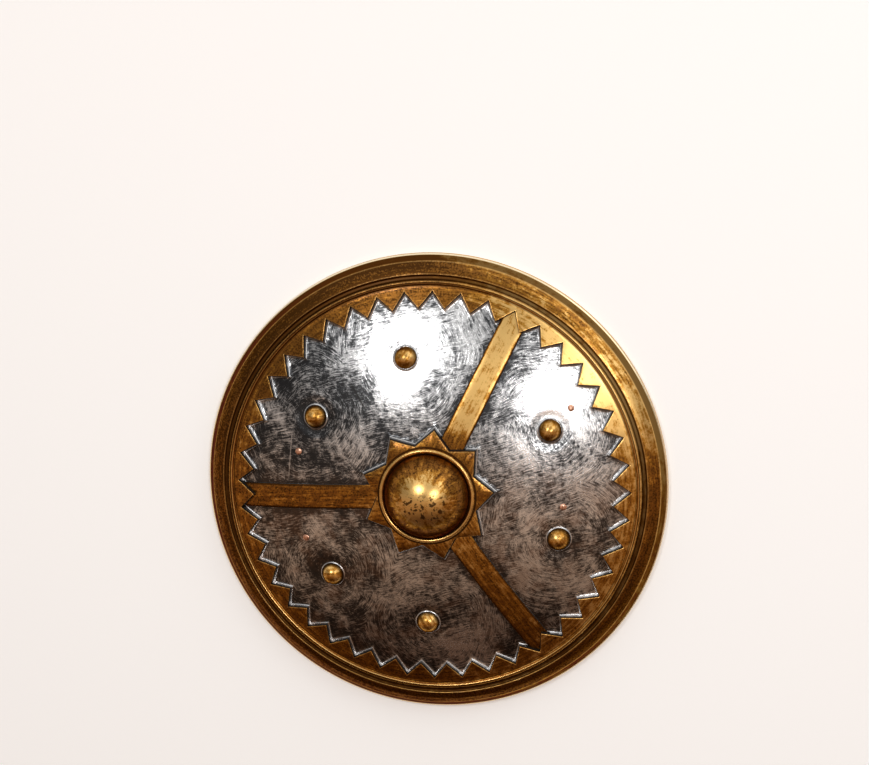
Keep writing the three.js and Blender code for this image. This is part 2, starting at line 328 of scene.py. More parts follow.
# While a toothed or pointed form is spun, its wall's share of the run is held as a radius near
# this one and its share of the depth as a height, until each point has a bearing.
HELD_RADIUS = 100
HELD_RUN = 10


def ring_form(inset):
    """Toothed ring and rim, a closed loop whose inner side runs in and out along the teeth."""
    base = BASE_HEIGHTS[inset]
    half_pitch = NOTCH_RADIUS * sin(pi / TOOTH_COUNT)
    shift = inset * SLOPED_WALL / sin(atan2(half_pitch, NOTCH_RADIUS - TOOTH_TIP_RADIUS))
    outer = [(radius, RING_TOP + height) for radius, height in (RIM_BACK if inset else RIM_FACE)]
    if inset:
        outer.append((outer[-1][0], base))
    else:
        face_start = (RING_FACE_START, field_height(RING_FACE_START) + RING_LIFT)
        foot = [(OUTER_RADIUS, LIP_CHAMFER), (OUTER_RADIUS - LIP_CHAMFER, 0)]
        outer = rounded([face_start, *outer, *foot], RIM_ROUNDING, 3)
    wall = reversed(WALL_HOLLOW if inset else WALL_FACE)
    run = [(HELD_RADIUS - HELD_RUN * share, -depth) for share, depth in wall]
    profile = [(run[0][0], -20), *run, *outer]
    form = spun(profile, RING_SEGMENTS, closed=True, start=radians(FIRST_NOTCH))
    for vert in form.verts:
        radius = hypot(vert.co.x, vert.co.y)
        if radius > HELD_RADIUS * 1.5:
            continue
        bearing = atan2(vert.co.y, vert.co.x)
        share = (HELD_RADIUS - radius) / HELD_RUN
        notch = NOTCH_RADIUS + shift - NOTCH_RUN * share
        tip = TOOTH_TIP_RADIUS + shift - TIP_RUN * share
        reach = zigzag_radius(bearing, radians(FIRST_NOTCH), TOOTH_COUNT, notch, tip)
        level = vert.co.z
        height = field_height(reach) + RING_LIFT * (1 + level) - drop(inset)
        if level < -10:
            height = base
        vert.co = (reach * cos(bearing), reach * sin(bearing), height)
    bmesh.ops.recalc_face_normals(form, faces=form.faces)
    paint(form, inset, RING_LIFT * RING_GOLD, within=SPOKE_END)
    return solid_of(form)


def dome_form(inset):
    """The domed field."""
    edge = FIELD_EDGE + 2 * inset * WALL
    radii = [edge * step / DOME_STEPS for step in range(DOME_STEPS, -1, -1)]
    profile = [(0, BASE_HEIGHTS[inset]), (edge, BASE_HEIGHTS[inset])]
    profile += [(radius, field_height(radius) - drop(inset)) for radius in radii]
    return solid_of(spun(profile, DOME_SEGMENTS), BACK if inset else SILVER)


def spoke_form(angle, inset):
    """A flat raised strip with rounded edges that follows the dome."""
    half = SPOKE_WIDTH / 2 - inset * WALL * 0.8
    length = SPOKE_END - SPOKE_START
    form = bmesh.new()
    place = Matrix.Translation(((SPOKE_START + SPOKE_END) / 2, 0, 0))
    size = Matrix.Diagonal((length, 2 * half, 2 * SPOKE_LIFT, 1))
    bmesh.ops.create_cube(form, size=1, matrix=place @ size)
    for vert in form.verts:
        if vert.co.z < 0:
            vert.co.y *= 1 + 2 * SPOKE_SPREAD / half
    if not inset:
        tops = [
            edge for edge in form.edges
            if all(vert.co.z > 0 for vert in edge.verts) and edge.calc_length() > length / 2
        ]
        bmesh.ops.bevel(
            form, geom=tops, offset=SPOKE_ROUNDING, segments=3, profile=0.5, affect="EDGES",
            material=-1,
        )
    steps = [SPOKE_START + length * step / SPOKE_STEPS for step in range(1, SPOKE_STEPS)]
    cuts = [((step, 0, 0), (1, 0, 0)) for step in steps]
    cuts += [((0, across * half, 0), (0, 1, 0)) for across in (-0.55, 0, 0.55)]
    for place, facing in cuts:
        bmesh.ops.bisect_plane(
            form, geom=form.verts[:] + form.edges[:] + form.faces[:],
            plane_co=place, plane_no=facing,
        )
    for vert in form.verts:
        vert.co.z += field_height(hypot(vert.co.x, vert.co.y)) - drop(inset)
    paint(form, inset, SPOKE_LIFT * SPOKE_GOLD)
    return solid_of(form, None, Matrix.Rotation(radians(angle), 4, "Z"))


def star_form(inset):
    """The nine-pointed star: spun as a round plate, then drawn out to its points."""
    wall = [(0.0, 0.0), (1.5, 1.5)] if inset else [
        (1.5 * run, depth) for run, depth in WALL_FACE[1:]] + [(2.3, 1.2)]
    run = [(HELD_RADIUS + HELD_RUN * share, -depth) for share, depth in reversed(wall)]
    profile = [(0, -30), *run, (52, 5), (STAR_MIDDLE, 5), (0, 5)]
    form = spun(profile, STAR_SEGMENTS, start=radians(STAR_FIRST_POINT))
    for vert in form.verts:
        radius = hypot(vert.co.x, vert.co.y)
        bearing = atan2(vert.co.y, vert.co.x)
        level = vert.co.z
        if radius > HELD_RADIUS * 0.8:
            share = (radius - HELD_RADIUS) / HELD_RUN * STAR_RUN * 0.8 - inset * WALL
            tip = STAR_TIP_RADIUS + 1.5 * share
            valley = STAR_VALLEY_RADIUS + 1.2 * share
            radius = zigzag_radius(bearing, radians(STAR_FIRST_POINT), STAR_POINTS, tip, valley)
            height = field_height(radius) + STAR_LIFT * (1 + level)
        elif level > 0:
            height = field_height(radius) + STAR_LIFT
        else:
            height = field_height(STAR_TIP_RADIUS) - STAR_LIFT
        vert.co = (radius * cos(bearing), radius * sin(bearing), height - drop(inset))
    bmesh.ops.recalc_face_normals(form, faces=form.faces)
    paint(form, inset, STAR_LIFT * STAR_GOLD)
    return solid_of(form)


def boss_form(inset):
    """The boss: a near half ball that rises inside a rolled bead."""
    seat = field_height(BEAD_RADIUS) + STAR_LIFT - drop(inset)
    radius = BOSS_RADIUS - inset * WALL
    ball = (radius**2 + BOSS_HEIGHT**2) / (2 * BOSS_HEIGHT)
    widest = atan2(radius, ball - BOSS_HEIGHT)
    half_width = BEAD_HALF_WIDTH - inset * WALL * 0.9
    profile = [(0, seat - BOSS_FOOT), (BEAD_RADIUS, seat - BOSS_FOOT)]
    for step in range(BEAD_STEPS + 1):
        angle = pi * step / BEAD_STEPS
        profile.append((BEAD_RADIUS + half_width * cos(angle), seat + BEAD_LIFT * sin(angle)))
    profile += ball_cap(ball, seat + BOSS_HEIGHT - ball, widest, BOSS_STEPS)
    return solid_of(spun(profile, BOSS_SEGMENTS), BACK if inset else GOLD)


def stud_ball(place, inset):
    """A stud's ball, square to the field."""
    radius = STUD_RADIUS - inset * WALL
    deep = -DIMPLE_DEPTH - STUD_FOOT - inset * WALL
    widest = acos((deep + STUD_SUNK) / radius)
    profile = [(0, deep), *ball_cap(radius, -STUD_SUNK, widest, BALL_STEPS)]
    return solid_of(spun(profile, BALL_SEGMENTS), BACK if inset else GOLD, field_frame(*place))


def dimple(place, inset):
    """The cutter of a stud's dimple: in front a small ledge, then a long soft slope up."""
    if inset:
        floor = -DIMPLE_DEPTH - WALL
        brim = DIMPLE_RADIUS + WALL
        profile = [(0, floor), (STUD_RADIUS + DIMPLE_GAP + WALL, floor)]
    else:
        foot = STUD_RADIUS + LEDGE[-1][0]
        brim = DIMPLE_SOFT_RADIUS
        profile = [(0, LEDGE[0][1]), *((STUD_RADIUS + out, lift) for out, lift in LEDGE)]
        for step in range(1, BRIM_STEPS + 1):
            share = step / BRIM_STEPS
            radius = foot + (brim - foot) * share
            sunk = DIMPLE_SOFT_DEPTH * (0.5 + 0.5 * cos(pi * share))
            curve = DOME_RISE * (radius / NOTCH_RADIUS) ** 2
            profile.append((radius, 0.06 * share - sunk - curve))
    profile += [(brim + 2, 3), (0, 3)]
    return solid_of(spun(profile, BALL_SEGMENTS), BACK if inset else SILVER, field_frame(*place))


def on_plan(radius, bearing):
    """A point's x and y from its distance to the axis and its bearing in degrees."""
    return radius * cos(radians(bearing)), radius * sin(radians(bearing))


def shell_form(inset):
    """All forms of one skin of the shell as a single solid."""
    body = dome_form(inset)
    stud_places = [on_plan(*stud) for stud in STUDS]
    for place in stud_places:
        body = merged(body, dimple(place, inset), "DIFFERENCE")
    parts = [ring_form(inset), *(spoke_form(angle, inset) for angle in SPOKE_ANGLES)]
    parts += [star_form(inset), boss_form(inset)]
    parts += [stud_ball(place, inset) for place in stud_places]
    for part in parts:
        body = merged(body, part, "UNION")
    return body


def rivet_hole(place):
    low, high = RIVET_HOLE_ENDS
    profile = [(0, low), (RIVET_HOLE_RADIUS, low), (RIVET_HOLE_RADIUS, high), (0, high)]
    return solid_of(spun(profile, 24), SILVER, field_frame(*place))


def shield_shell():
    body = merged(shell_form(0), shell_form(1), "DIFFERENCE")
    for strap in STRAPS.values():
        for place in strap["ends"]:
            body = merged(body, rivet_hole(place), "DIFFERENCE")
    return body


# ---- straps
class StrapPath:
    """The middle line of a strap: flat riveted ends and a loop that hangs free between them."""

    def __init__(self, ends, depth):
        reach = WALL + STRAP_GAP + STRAP_THICKNESS / 2
        frames = [field_frame(*end) for end in ends]
        self.normals = [place.to_3x3() @ UP for place in frames]
        self.places = [
            place.translation - reach * normal for place, normal in zip(frames, self.normals)
        ]
        toward = (self.places[1] - self.places[0]).normalized()
        self.along = [(toward - toward.dot(normal) * normal).normalized() for normal in self.normals]
        self.start = self.places[0] + TAB_HALF * self.along[0]
        self.end = self.places[1] - TAB_HALF * self.along[1]
        self.depth = depth
        self.loop = (self.end - self.start).length * LOOP_SLACK
        self.length = self.loop + 4 * TAB_HALF

    def at(self, travelled):
        """Place and upward normal at a distance along the strap."""
        if travelled < 2 * TAB_HALF:
            return self.places[0] + (travelled - TAB_HALF) * self.along[0], self.normals[0]
        if travelled > self.length - 2 * TAB_HALF:
            back = self.length - travelled
            return self.places[1] + (TAB_HALF - back) * self.along[1], self.normals[1]
        share = (1 - cos(pi * (travelled - 2 * TAB_HALF) / self.loop)) / 2
        place = self.start.lerp(self.end, share)
        place.z -= self.depth * sin(pi * share) ** LOOP_FULLNESS
        return place, self.normals[0].lerp(self.normals[1], share).normalized()

    def frame(self, travelled):
        """Place, direction across, and direction off the strap's upper face."""
        place, normal = self.at(travelled)
        before = self.at(max(travelled - 0.5, 0))[0]
        after = self.at(min(travelled + 0.5, self.length))[0]
        along = (after - before).normalized()
        across = normal.cross(along).normalized()
        return place, across, along.cross(across)


def webbing(strap):
    """A woven band whose weave lies flatter at its selvedges, its box stitching at both ends."""
    path = StrapPath(strap["ends"], strap["depth"])
    width = strap["width"]
    rows = round(path.length / WEAVE_PITCH)
    columns = 2 * round(width / WEAVE_PITCH / 2)
    half_thick = STRAP_THICKNESS / 2 - WEAVE_RISE
    form = bmesh.new()
    loops = []
    for row in range(rows + 1):
        place, across, off = path.frame(path.length * row / rows)
        above, below = [], []
        for column in range(columns + 1):
            rise = WEAVE_RISE if (row // 2 + column) % 2 else -WEAVE_RISE
            rise *= 0.6 if min(column, columns - column) * WEAVE_PITCH < SELVEDGE else 1
            point = place + (column / columns - 0.5) * width * across + rise * off
            above.append(form.verts.new(point + half_thick * off))
            below.append(form.verts.new(point - half_thick * off))
        loops.append(above + below[::-1])
    for one, other in zip(loops, loops[1:]):
        for index in range(len(one)):
            form.faces.new((one[index - 1], one[index], other[index], other[index - 1]))
    form.faces.new(loops[0])
    form.faces.new(loops[-1])
    bmesh.ops.recalc_face_normals(form, faces=form.faces)
    for tab in (0, 1):
        stitch_box(form, path, tab, width)
    return solid_of(form)


def stitch_box(form, path, tab, width):
    """Rows of raised stitches round a strap's flat end, on both faces."""
    near = STITCH_INSET if tab == 0 else path.length - 2 * TAB_HALF + STITCH_INSET
    far = near + 2 * (TAB_HALF - STITCH_INSET)
    side = width / 2 - STITCH_SIDE
    corners = [(near, -side), (far, -side), (far, side), (near, side)]
    for one, other in zip(corners, corners[1:] + corners[:1]):
        reach = hypot(other[0] - one[0], other[1] - one[1])
        count = round(reach / (STITCH_LENGTH * 1.2))
        for index in range(count):
            ends = [
                [a + (b - a) * (index + part) / count for a, b in zip(one, other)]
                for part in (0.1, 0.9)
            ]
            for face in (-1, 1):
                lift = face * (STRAP_THICKNESS / 2)
                places = []
                for travelled, across in ends:
                    place, sideways, off = path.frame(travelled)
                    places.append(place + across * sideways + lift * off)
                add_stitch(form, *places)


def add_stitch(form, one, other):
    """One short rounded length of thread between two points."""
    turn = UP.rotation_difference(other - one).to_matrix().to_4x4()
    place = Matrix.Translation((one + other) / 2) @ turn
    length = (other - one).length
    made = bmesh.ops.create_icosphere(form, subdivisions=1, radius=THREAD_RADIUS)["verts"]
    for vert in made:
        if abs(vert.co.z) > THREAD_RADIUS * 0.2:
            vert.co.z += (length / 2 - THREAD_RADIUS) * (1 if vert.co.z > 0 else -1)
    bmesh.ops.transform(form, matrix=place, verts=made)
    for vert in made:
        for face in vert.link_faces:
            face.material_index = THREAD


# ---- rivets
def rivet(place):
    """Domed head in front, shank through shell and strap, flat head behind."""
    behind = -(WALL + STRAP_GAP + STRAP_THICKNESS + CLEARANCE)
    edge = CLEARANCE + RIVET_HEAD_EDGE
    rise = RIVET_HEAD_HEIGHT - RIVET_HEAD_EDGE
    turns = [radians(turn) for turn in range(0, 91, 10)]
    crown = [(RIVET_HEAD_RADIUS * cos(turn), edge + rise * sin(turn)) for turn in turns]
    profile = [
        (0, behind - RIVET_TAIL), (RIVET_HEAD_RADIUS * 0.7, behind - RIVET_TAIL),
        (RIVET_HEAD_RADIUS * 0.92, behind - RIVET_TAIL * 0.75), (RIVET_HEAD_RADIUS, behind - 0.3),
        (RIVET_HEAD_RADIUS, behind), (RIVET_SHANK_RADIUS, behind), (RIVET_SHANK_RADIUS, CLEARANCE),
        (RIVET_HEAD_RADIUS, CLEARANCE), *crown,
    ]
    return solid_of(spun(profile, RIVET_SEGMENTS), 0, field_frame(*place))


# ---- node helpers
def fill(tree, socket, value):
    """Links an input to another socket, or sets it to a plain value."""
    if isinstance(value, bpy.types.NodeSocket):
        tree.links.new(value, socket)
    else:
        socket.default_value = value


def add(tree, kind, inputs=(), **settings):
    """A shader node with its settings, and each named input filled."""
    made = tree.nodes.new("ShaderNode" + kind)
    for name, value in settings.items():
        setattr(made, name, value)
    for name, value in dict(inputs).items():
        fill(tree, made.inputs[name], value)
    return made


def calc(tree, operation, *values):
    """One step of arithmetic on numbers or sockets."""
    return add(tree, "Math", enumerate(values), operation=operation).outputs[0]


def chain(operation):
    """A function that takes numbers or sockets through one operation, from first to last."""
    def work_out(tree, *values):
        found = values[0]
        for value in values[1:]:
            found = calc(tree, operation, found, value)
        return found

    return work_out


total, less, times, most = (chain(kind) for kind in ("ADD", "SUBTRACT", "MULTIPLY", "MAXIMUM"))


def weighed(tree, *shares):
    """The sum of several products."""
    return total(tree, *(times(tree, *share) for share in shares))


def span(tree, value, low, high, from_value=0.0, to_value=1.0):
    """value moved smoothly from one range to another, and held at its ends."""
    ends = {"From Min": low, "From Max": high, "To Min": from_value, "To Max": to_value}
    made = add(tree, "MapRange", {"Value": value, **ends}, interpolation_type="SMOOTHSTEP")
    return made.outputs["Result"]


def fading(tree, value, full, gone):
    """A mask that is full on one side of a value and gone beyond another."""
    return span(tree, value, full, gone, 1.0, 0.0)


def line_at(tree, value, middle, half_width, soft):
    """A mask that is full within half_width of a value and fades out over soft."""
    away = calc(tree, "ABSOLUTE", less(tree, value, middle))
    return fading(tree, away, half_width, half_width + soft)


def rings_at(tree, radius, rings):
    """A mask of several rings, each with a radius, half width, softness and strength."""
    return most(tree, *(times(tree, line_at(tree, radius, *ring), strong) for *ring, strong in rings))


def blend(tree, share, first, second):
    """A colour between two colours."""
    made = add(tree, "Mix", data_type="RGBA", clamp_factor=True)
    for index, value in ((0, share), (6, first), (7, second)):
        fill(tree, made.inputs[index], (*value, 1) if isinstance(value, tuple) else value)
    return made.outputs[2]


def noise(tree, vector, scale, detail=2.0, roughness=0.5, turn=0.0):
    """Soft random variation; turn is a fourth way to move through it."""
    inputs = {"Vector": vector, "Scale": scale, "Detail": detail, "Roughness": roughness, "W": turn}
    return add(tree, "TexNoise", inputs, noise_dimensions="4D").outputs["Fac"]


def vector_of(tree, *parts):
    return add(tree, "CombineXYZ", enumerate(parts)).outputs[0]


def parts_of(tree, vector):
    return add(tree, "SeparateXYZ", {0: vector}).outputs


def object_place(tree):
    return add(tree, "TexCoord").outputs["Object"]


def vector_calc(tree, operation, *values, found=0):
    """One step of arithmetic on vectors; found is the output that holds the result."""
    return add(tree, "VectorMath", enumerate(values), operation=operation).outputs[found]


def near_place(tree, place, middle, full, gone):
    """A mask that is full near a place on the plan and fades out with distance."""
    middle = (*middle, field_height(hypot(*middle)))
    return fading(tree, vector_calc(tree, "DISTANCE", place, middle, found="Value"), full, gone)


def scratch(tree, place, start, end, half_width):
    """A mask along a short straight mark on the plan, thin at both ends."""
    run = Vector(end) - Vector(start)
    local = add(tree, "Mapping", {
        "Vector": place, "Location": (*start, 0), "Rotation": (0, 0, atan2(run.y, run.x)),
    }, vector_type="TEXTURE").outputs[0]
    along, across, _ = parts_of(tree, local)
    starts = span(tree, along, 0.0, SCRATCH_TAPER)
    ends = fading(tree, along, run.length - SCRATCH_TAPER, run.length)
    line = line_at(tree, across, 0.0, half_width * 0.4, half_width)
    return times(tree, line, times(tree, starts, ends))


def add_sockets(tree, way, names):
    for name in names:
        kind = "NodeSocketVector" if name in VECTORS else "NodeSocketFloat"
        tree.interface.new_socket(name, in_out=way, socket_type=kind)


def new_group(name, *inputs):
    """A shader node group, and what is given to it."""
    tree = bpy.data.node_groups.new(name, "ShaderNodeTree")
    add_sockets(tree, "INPUT", inputs)
    return tree, tree.nodes.new("NodeGroupInput").outputs


def finish_group(tree, results):
    """The group once its results reach its output sockets."""
    add_sockets(tree, "OUTPUT", results)
    out = tree.nodes.new("NodeGroupOutput").inputs
    for name, socket in results.items():
        tree.links.new(socket, out[name])
    return tree


def use_group(tree, group, inputs=()):
    """A group placed in a material, with its inputs filled."""
    made = tree.nodes.new("ShaderNodeGroup")
    made.node_tree = group
    for name, value in dict(inputs).items():
        fill(tree, made.inputs[name], value)
    return made.outputs


# ---- shared effects
# Where the odd stud's own swirl is full, and where it is gone
ODD_SWIRL = 18.0, 45.0
# How far strokes wander off their rings and off their straight sweeps
RING_BEND, SWEEP_BEND = 26.0, 30.0
STROKE_ROUGHNESS = 0.68
SCRATCH_TAPER = 5.0
# The group sockets that carry vectors; the others carry numbers
VECTORS = {"Place", "Swirl", "Around"}


def zigzag_gap(tree, radius, bearing, first, count, at_first, between):
    """How far, in plan, a point lies inside a zigzag outline, in millimetres."""
    half = pi / count
    folded = calc(tree, "WRAP", less(tree, bearing, radians(first)), half, -half)
    folded = calc(tree, "ABSOLUTE", folded)
    east = times(tree, radius, calc(tree, "COSINE", folded))
    north = times(tree, radius, calc(tree, "SINE", folded))
    run = Vector((between * cos(half) - at_first, between * sin(half))).normalized()
    out = run.orthogonal()
    out = out if out.x > 0 else -out
    reach = total(tree, times(tree, east, out.x), times(tree, north, out.y))
    return less(tree, at_first * out.x, reach)


def plan_group():
    """Where a point is on the shield: distances in millimetres from each painted form."""
    tree, _ = new_group("Shield Plan")
    place = vector_calc(tree, "MULTIPLY", object_place(tree), (1 / MM, 1 / MM, 1 / MM))
    east, north, up = parts_of(tree, place)
    squared = total(tree, times(tree, east, east), times(tree, north, north))
    radius = calc(tree, "SQRT", squared)
    bearing = calc(tree, "ARCTAN2", north, east)
    lift = total(tree, up, -field_height(0), times(tree, squared, DOME_RISE / NOTCH_RADIUS**2))

    # The odd stud's own swirl follows it off the pattern.
    odd, ideal = Vector(on_plan(*ODD_STUD)), Vector(on_plan(*ODD_STUD_IDEAL))
    flat = vector_of(tree, east, north)
    reach = vector_calc(tree, "DISTANCE", flat, (*odd, 0), found="Value")
    slip = vector_calc(tree, "MULTIPLY", (*(ideal - odd), 0), fading(tree, reach, *ODD_SWIRL))
    flat = vector_calc(tree, "ADD", flat, slip)
    near = parts_of(tree, flat)
    run = vector_calc(tree, "LENGTH", flat, found="Value")

    # Three panels alike, each the mirror of itself about its middle
    third = radians(60)
    turn = less(tree, calc(tree, "ARCTAN2", near[1], near[0]), radians(PANEL_MIDDLE))
    turn = calc(tree, "WRAP", turn, third, -third)
    aside = calc(tree, "ABSOLUTE", turn)
    spoke = times(tree, run, calc(tree, "SINE", less(tree, third, aside)))
    from_stud = less(tree, aside, radians(STUD_SPREAD))
    past_stud = less(tree, times(tree, run, calc(tree, "COSINE", from_stud)), STUD_CIRCLE)
    away = vector_of(tree, past_stud, times(tree, run, calc(tree, "SINE", from_stud)))
    distance = vector_calc(tree, "LENGTH", away, found="Value")
    ways = parts_of(tree, vector_calc(tree, "NORMALIZE", away))
    teeth = FIRST_NOTCH, TOOTH_COUNT, NOTCH_RADIUS, TOOTH_TIP_RADIUS
    star = STAR_FIRST_POINT, STAR_POINTS, STAR_TIP_RADIUS, STAR_VALLEY_RADIUS
    return finish_group(tree, {
        "Place": place, "Radius": radius, "Bearing": bearing, "Lift": lift,
        "Tooth Gap": zigzag_gap(tree, radius, bearing, *teeth),
        "Star Gap": times(tree, -1.0, zigzag_gap(tree, radius, bearing, *star)),
        "Spoke Gap": less(tree, spoke, SPOKE_WIDTH / 2),
        "Spoke Side": times(tree, spoke, calc(tree, "SIGN", turn)),
        "Stud Distance": distance, "Swirl": vector_of(tree, ways[0], ways[1], distance),
        "Around": vector_of(tree, calc(tree, "COSINE", bearing), calc(tree, "SINE", bearing)),
    })


def strokes_group():
    """Dry-brush strokes: some swirl round the studs, some cross the panels in straight sweeps."""
    tree, given = new_group("Brush Strokes", "Place", "Swirl", "Bearing")
    place, ways = given["Place"], parts_of(tree, given["Swirl"])
    bend = less(tree, noise(tree, place, 0.014, 1.0), 0.5)
    ring = total(tree, ways[2], times(tree, bend, RING_BEND))
    seed = times(tree, calc(tree, "COSINE", less(tree, given["Bearing"], 0.4)), 3.0)
    bent = vector_calc(tree, "ADD", place, times(tree, bend, SWEEP_BEND))

    def swirled(turns, width, detail):
        around = times(tree, ways[0], turns), times(tree, ways[1], turns)
        vector = vector_of(tree, *around, times(tree, ring, 1 / width))
        return noise(tree, vector, 1.0, detail, STROKE_ROUGHNESS, seed)

    def swept(bearing, length, width, detail):
        made = add(tree, "Mapping", {
            "Vector": bent, "Rotation": (0, 0, radians(bearing)), "Scale": (length, width, 60.0),
        }, vector_type="TEXTURE")
        return noise(tree, made.outputs[0], 1.0, detail, STROKE_ROUGHNESS, bearing)

    def whichever(one, other, turn):
        """One kind of stroke or the other in patches, crossing where the patches meet."""
        patches = noise(tree, place, 0.02, 2.0, 0.5, turn)
        lean = times(tree, less(tree, patches, 0.5), 1.3)
        either = most(tree, total(tree, one, lean), total(tree, other, times(tree, lean, -1.0)))
        return less(tree, either, calc(tree, "ABSOLUTE", lean))

    crossing = whichever(swept(126, 12.0, 0.85, 3.0), swept(14, 11.0, 0.9, 3.0), 5.0)
    fine = whichever(swirled(6.5, 0.85, 3.0), crossing, 1.0)
    grain = less(tree, noise(tree, place, 0.26, 4.0, 0.75, 21.0), 0.5)
    fine = weighed(tree, (fine,), (grain, 0.6))
    broad = weighed(tree, (swirled(1.3, 5.0, 3.0), 0.5), (swept(110, 40.0, 6.0, 3.0), 0.5))
    patches = noise(tree, place, 0.024, 3.0, 0.6, 14.0)
    return finish_group(tree, {"Fine": fine, "Broad": broad, "Patches": patches})


def tarnish_group():
    """Mottled dark wash and fine specks of aged metal paint."""
    tree, given = new_group("Tarnish", "Place", "Size")
    place, scale = given["Place"], calc(tree, "DIVIDE", 1.0, given["Size"])
    return finish_group(tree, {
        "Mottle": noise(tree, place, scale, 5.0, 0.68),
        "Specks": noise(tree, place, times(tree, scale, 5.0), 3.0, 0.6),
        "Grain": noise(tree, place, times(tree, scale, 14.0), 2.0, 0.5),
    })


def new_material(name):
    """A material, its node tree and its shader."""
    made = bpy.data.materials.new(name)
    made.use_nodes = True
    return made, made.node_tree, made.node_tree.nodes["Principled BSDF"]


def feed(tree, shader, **sockets):
    """Fills the shader's inputs, given as their names with underscores."""
    for name, value in sockets.items():
        fill(tree, shader.inputs[name.replace("_", " ")], value)


def bump(tree, height, strength, distance):
    """Fine relief that only the light sees; its distance is in metres."""
    made = add(tree, "Bump", {"Height": height, "Strength": strength, "Distance": distance})
    return made.outputs["Normal"]


# ---- finishes
PLAN, STROKES, TARNISH = plan_group(), strokes_group(), tarnish_group()

SILVER_LIGHT = (0.86, 0.85, 0.845)
SILVER_THIN = (0.088, 0.078, 0.073)
SILVER_THIN_COOL = (0.064, 0.066, 0.070)
SILVER_LOWER_BROWN = (0.30, 0.185, 0.12)
# The dark ground under the silver, also used for painted shade.
UNDERCOAT_AND_SHADE = (0.012, 0.010, 0.009)
GOLD_PALE = (0.80, 0.50, 0.17)
GOLD_MID = (0.47, 0.205, 0.024)
GOLD_BROWN = (0.20, 0.075, 0.010)
# Dark wash, also used for painted shade.
GOLD_WASH_AND_SHADE = (0.040, 0.015, 0.004)
GOLD_EDGE = (0.55, 0.34, 0.17, 1)
# A painted highlight along the outer lip.
GOLD_LIP_HIGHLIGHT = (0.95, 0.83, 0.60)
PLASTIC_DARK, PLASTIC_GREY = (0.030, 0.027, 0.025), (0.052, 0.046, 0.040)
FIBRE_BLACK, FIBRE_GREY = (0.012, 0.012, 0.013), (0.042, 0.041, 0.042)
FIBRE_RUBBED = (0.075, 0.07, 0.066)
THREAD_DARK, THREAD_GREY = (0.03, 0.03, 0.032), (0.075, 0.074, 0.076)
COPPER_BRIGHT, COPPER_DULL = (0.90, 0.52, 0.36), (0.24, 0.10, 0.055)

# The silver thins close to these forms: full effect to, none from, and how much.
THIN_BESIDE = [
    ("Stud Distance", 14.0, 34.0, 0.09), ("Tooth Gap", 6.0, 17.0, 0.06),
    ("Spoke Gap", 0.5, 10.0, 0.12), ("Star Gap", 2.0, 16.0, 0.06),
]
# Painted highlight: paler silver at the two highlights, on the plan: middle, full to, gone from, and
# how much.
HIGHLIGHT_SPOTS = [((-26, 150), 24.0, 60.0, 0.2), ((132, 98), 16.0, 48.0, 0.14)]
PALE_SCRATCH = (-149, 66), (-155, 10), 0.6
# A painted shadow along a crease in the sheet, which the shell's shape does not have: start, end, half
# width.
CREASE_SHADOW = (-84, 119), (-66, 90), 1.5
DARK_CHIPS = [((-42, 157), 0.5, 1.1), ((12, 162), 0.4, 1.0)]
# Crests that are pale, partly from wear and partly as painted highlight, and hollows that hold dark
# wash, by radius.
PALE_CRESTS = [
    (220.6, 0.35, 0.5, 1.0), (223.7, 0.3, 0.5, 0.4), (230.5, 0.3, 0.6, 0.4),
    (243.2, 0.2, 0.6, 0.45), (249.3, 0.6, 0.4, 1.0), (BEAD_RADIUS, 1.2, 1.2, 0.8),
]
WASHED_HOLLOWS = [
    (222.1, 0.2, 0.6, 1.0), (227.4, 1.9, 1.8, 0.85), (246.2, 1.9, 1.4, 0.8),
    (218.4, 0.2, 1.0, 0.7), (52.5, 0.35, 1.0, 1.0), (46.1, 0.2, 0.9, 0.7),
]


